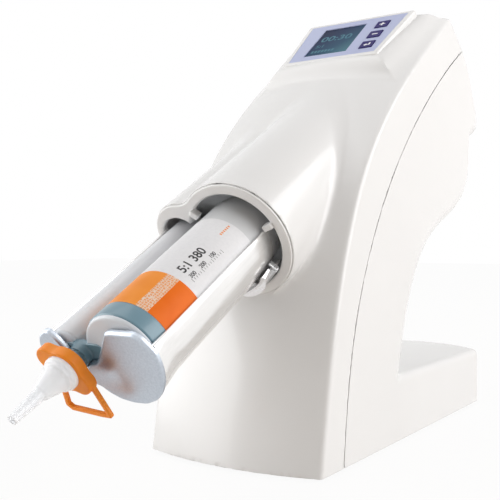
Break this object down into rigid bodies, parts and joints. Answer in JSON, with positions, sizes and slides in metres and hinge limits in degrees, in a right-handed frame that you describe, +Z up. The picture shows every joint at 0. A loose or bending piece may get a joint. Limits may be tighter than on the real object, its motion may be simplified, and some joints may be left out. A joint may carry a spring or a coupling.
{
  "type": "dental impression mixer",
  "caption": "Desktop mixer that drives paste from a twin-barrel cartridge through a rotating static tip, with a tilting metal tray, display and keys.",
  "frame": {"origin": "on the table, middle of the width and of the whole depth", "axes": "+Z up, +Y to the back of the machine, the nose points to -Y"},
  "size_m": [0.16, 0.5721, 0.4038],
  "materials": {
    "casing": "gloss",
    "base": "satin",
    "feet": "matte",
    "fascia": "gloss",
    "lcd": "gloss",
    "key": "satin",
    "circuit_board": "satin",
    "polished_steel": "polished",
    "steel": "brushed",
    "painted_frame": "satin",
    "aluminium": "satin",
    "brass": "satin",
    "barrel": "satin",
    "cap": "satin",
    "label": "satin",
    "piston": "satin",
    "ring": "gloss",
    "tip": "clear",
    "rotor": "satin",
    "black_plastic": "satin",
    "gear": "satin"
  },
  "bodies": {
    "machine": {"base_plate": "base", "base_screws": "steel", "control_board": "circuit_board", "display_bezel": "casing", "display_plate": "fascia", "drive_gearbox": "aluminium", "drive_motor": "steel", "front_frame_plate": "painted_frame", "front_housing": "casing", "guide_rods": "steel", "lcd_module": "lcd", "left_bracket": "painted_frame", "mains_inlet": "black_plastic", "mixer_motor": "steel", "nose_bulkhead": "base", "nose_collar": "casing", "power_supply": "steel", "power_switch": "black_plastic", "rear_frame_plate": "painted_frame", "rear_housing": "casing", "rear_panel": "black_plastic", "right_bracket": "painted_frame", "rubber_feet": "feet", "screw_bearings": "steel", "spindle_bush": "brass", "tray_hinge_pin": "steel"},
    "plunger_drive": {"crosshead": "aluminium", "screw_nut": "brass", "large_plunger": "aluminium", "small_plunger": "aluminium", "large_plunger_rod": "steel", "small_plunger_rod": "steel"},
    "lead_screw": {"lead_screw": "steel", "screw_gear": "gear"},
    "motor_pinion": {"motor_pinion": "brass", "motor_shaft": "steel"},
    "tray": {"barrel_tray": "polished_steel", "tray_front_plate": "polished_steel", "release_lever_pin": "steel", "large_barrel": "barrel", "small_barrel": "barrel", "barrel_cap": "cap", "barrel_label": "label", "mixing_tip": "tip"},
    "large_piston": {"large_piston": "piston"},
    "small_piston": {"small_piston": "piston"},
    "mixer_shaft": {"mixer_shaft": "steel", "mixing_rotor": "rotor"},
    "mixer_spindle": {"mixer_spindle": "steel"},
    "key_enter": {"key_enter": "key"},
    "key_minus": {"key_minus": "key"},
    "key_plus": {"key_plus": "key"},
    "locking_ring": {"locking_ring": "ring"},
    "release_lever": {"release_lever": "polished_steel"},
    "power_rocker": {"power_rocker": "black_plastic"}
  },
  "joints": [
    {"name": "plunger_slide", "type": "slide", "parent": "machine", "child": "plunger_drive", "axis": [0, -0.866, -0.5], "range_m": [0, 0.135]},
    {"name": "lead_screw_spin", "type": "hinge", "parent": "machine", "child": "lead_screw", "pos_m": [-0.014, 0.20347, 0.31402], "axis": [0, -0.866, -0.5], "range_deg": [0, 4860]},
    {"name": "motor_pinion_spin", "type": "hinge", "parent": "machine", "child": "motor_pinion", "pos_m": [-0.034, 0.21843, 0.2881], "axis": [0, -0.866, -0.5], "range_deg": [-14580, 0]},
    {"name": "tray_tilt", "type": "hinge", "parent": "machine", "child": "tray", "pos_m": [0.01, -0.08457, 0.14091], "axis": [-1, 0, 0], "range_deg": [-18, 0]},
    {"name": "large_piston_slide", "type": "slide", "parent": "tray", "child": "large_piston", "axis": [0, -0.866, -0.5], "range_m": [0, 0.135]},
    {"name": "small_piston_slide", "type": "slide", "parent": "tray", "child": "small_piston", "axis": [0, -0.866, -0.5], "range_m": [0, 0.135]},
    {"name": "spindle_spin", "type": "hinge", "parent": "machine", "child": "mixer_spindle", "pos_m": [-0.0226, -0.04796, 0.2035], "axis": [0, -0.866, -0.5], "continuous": true},
    {"name": "mixer_spin", "type": "hinge", "parent": "tray", "child": "mixer_shaft", "pos_m": [-0.0226, -0.15188, 0.1435], "axis": [0, -0.866, -0.5], "continuous": true},
    {"name": "ring_turn", "type": "hinge", "parent": "tray", "child": "locking_ring", "pos_m": [-0.0226, -0.24021, 0.0925], "axis": [0, -0.866, -0.5], "range_deg": [0, 75]},
    {"name": "lever_press", "type": "hinge", "parent": "tray", "child": "release_lever", "pos_m": [0.03429, -0.09336, 0.14614], "axis": [-0.7431, 0.3346, -0.5795], "range_deg": [0, 5], "stiffness_Nm_per_rad": 0.6},
    {"name": "power_rocker_tilt", "type": "hinge", "parent": "machine", "child": "power_rocker", "pos_m": [0.018, 0.27208, 0.029], "axis": [-1, 0, 0], "range_deg": [0, 16]},
    {"name": "key_enter_press", "type": "slide", "parent": "machine", "child": "key_enter", "axis": [0, 0.6129, -0.7902], "range_m": [0, 0.0008], "stiffness_N_per_m": 600},
    {"name": "key_minus_press", "type": "slide", "parent": "machine", "child": "key_minus", "axis": [0, 0.6129, -0.7902], "range_m": [0, 0.0008], "stiffness_N_per_m": 600},
    {"name": "key_plus_press", "type": "slide", "parent": "machine", "child": "key_plus", "axis": [0, 0.6129, -0.7902], "range_m": [0, 0.0008], "stiffness_N_per_m": 600}
  ],
  "couplings": [
    {"joint": "lead_screw_spin", "follows": "plunger_slide", "rad_per_m": 628.32},
    {"joint": "motor_pinion_spin", "follows": "plunger_slide", "rad_per_m": -1885},
    {"joint": "large_piston_slide", "follows": "plunger_slide", "ratio": 1},
    {"joint": "small_piston_slide", "follows": "plunger_slide", "ratio": 1},
    {"joint": "mixer_spin", "follows": "spindle_spin", "ratio": 1}
  ]
}
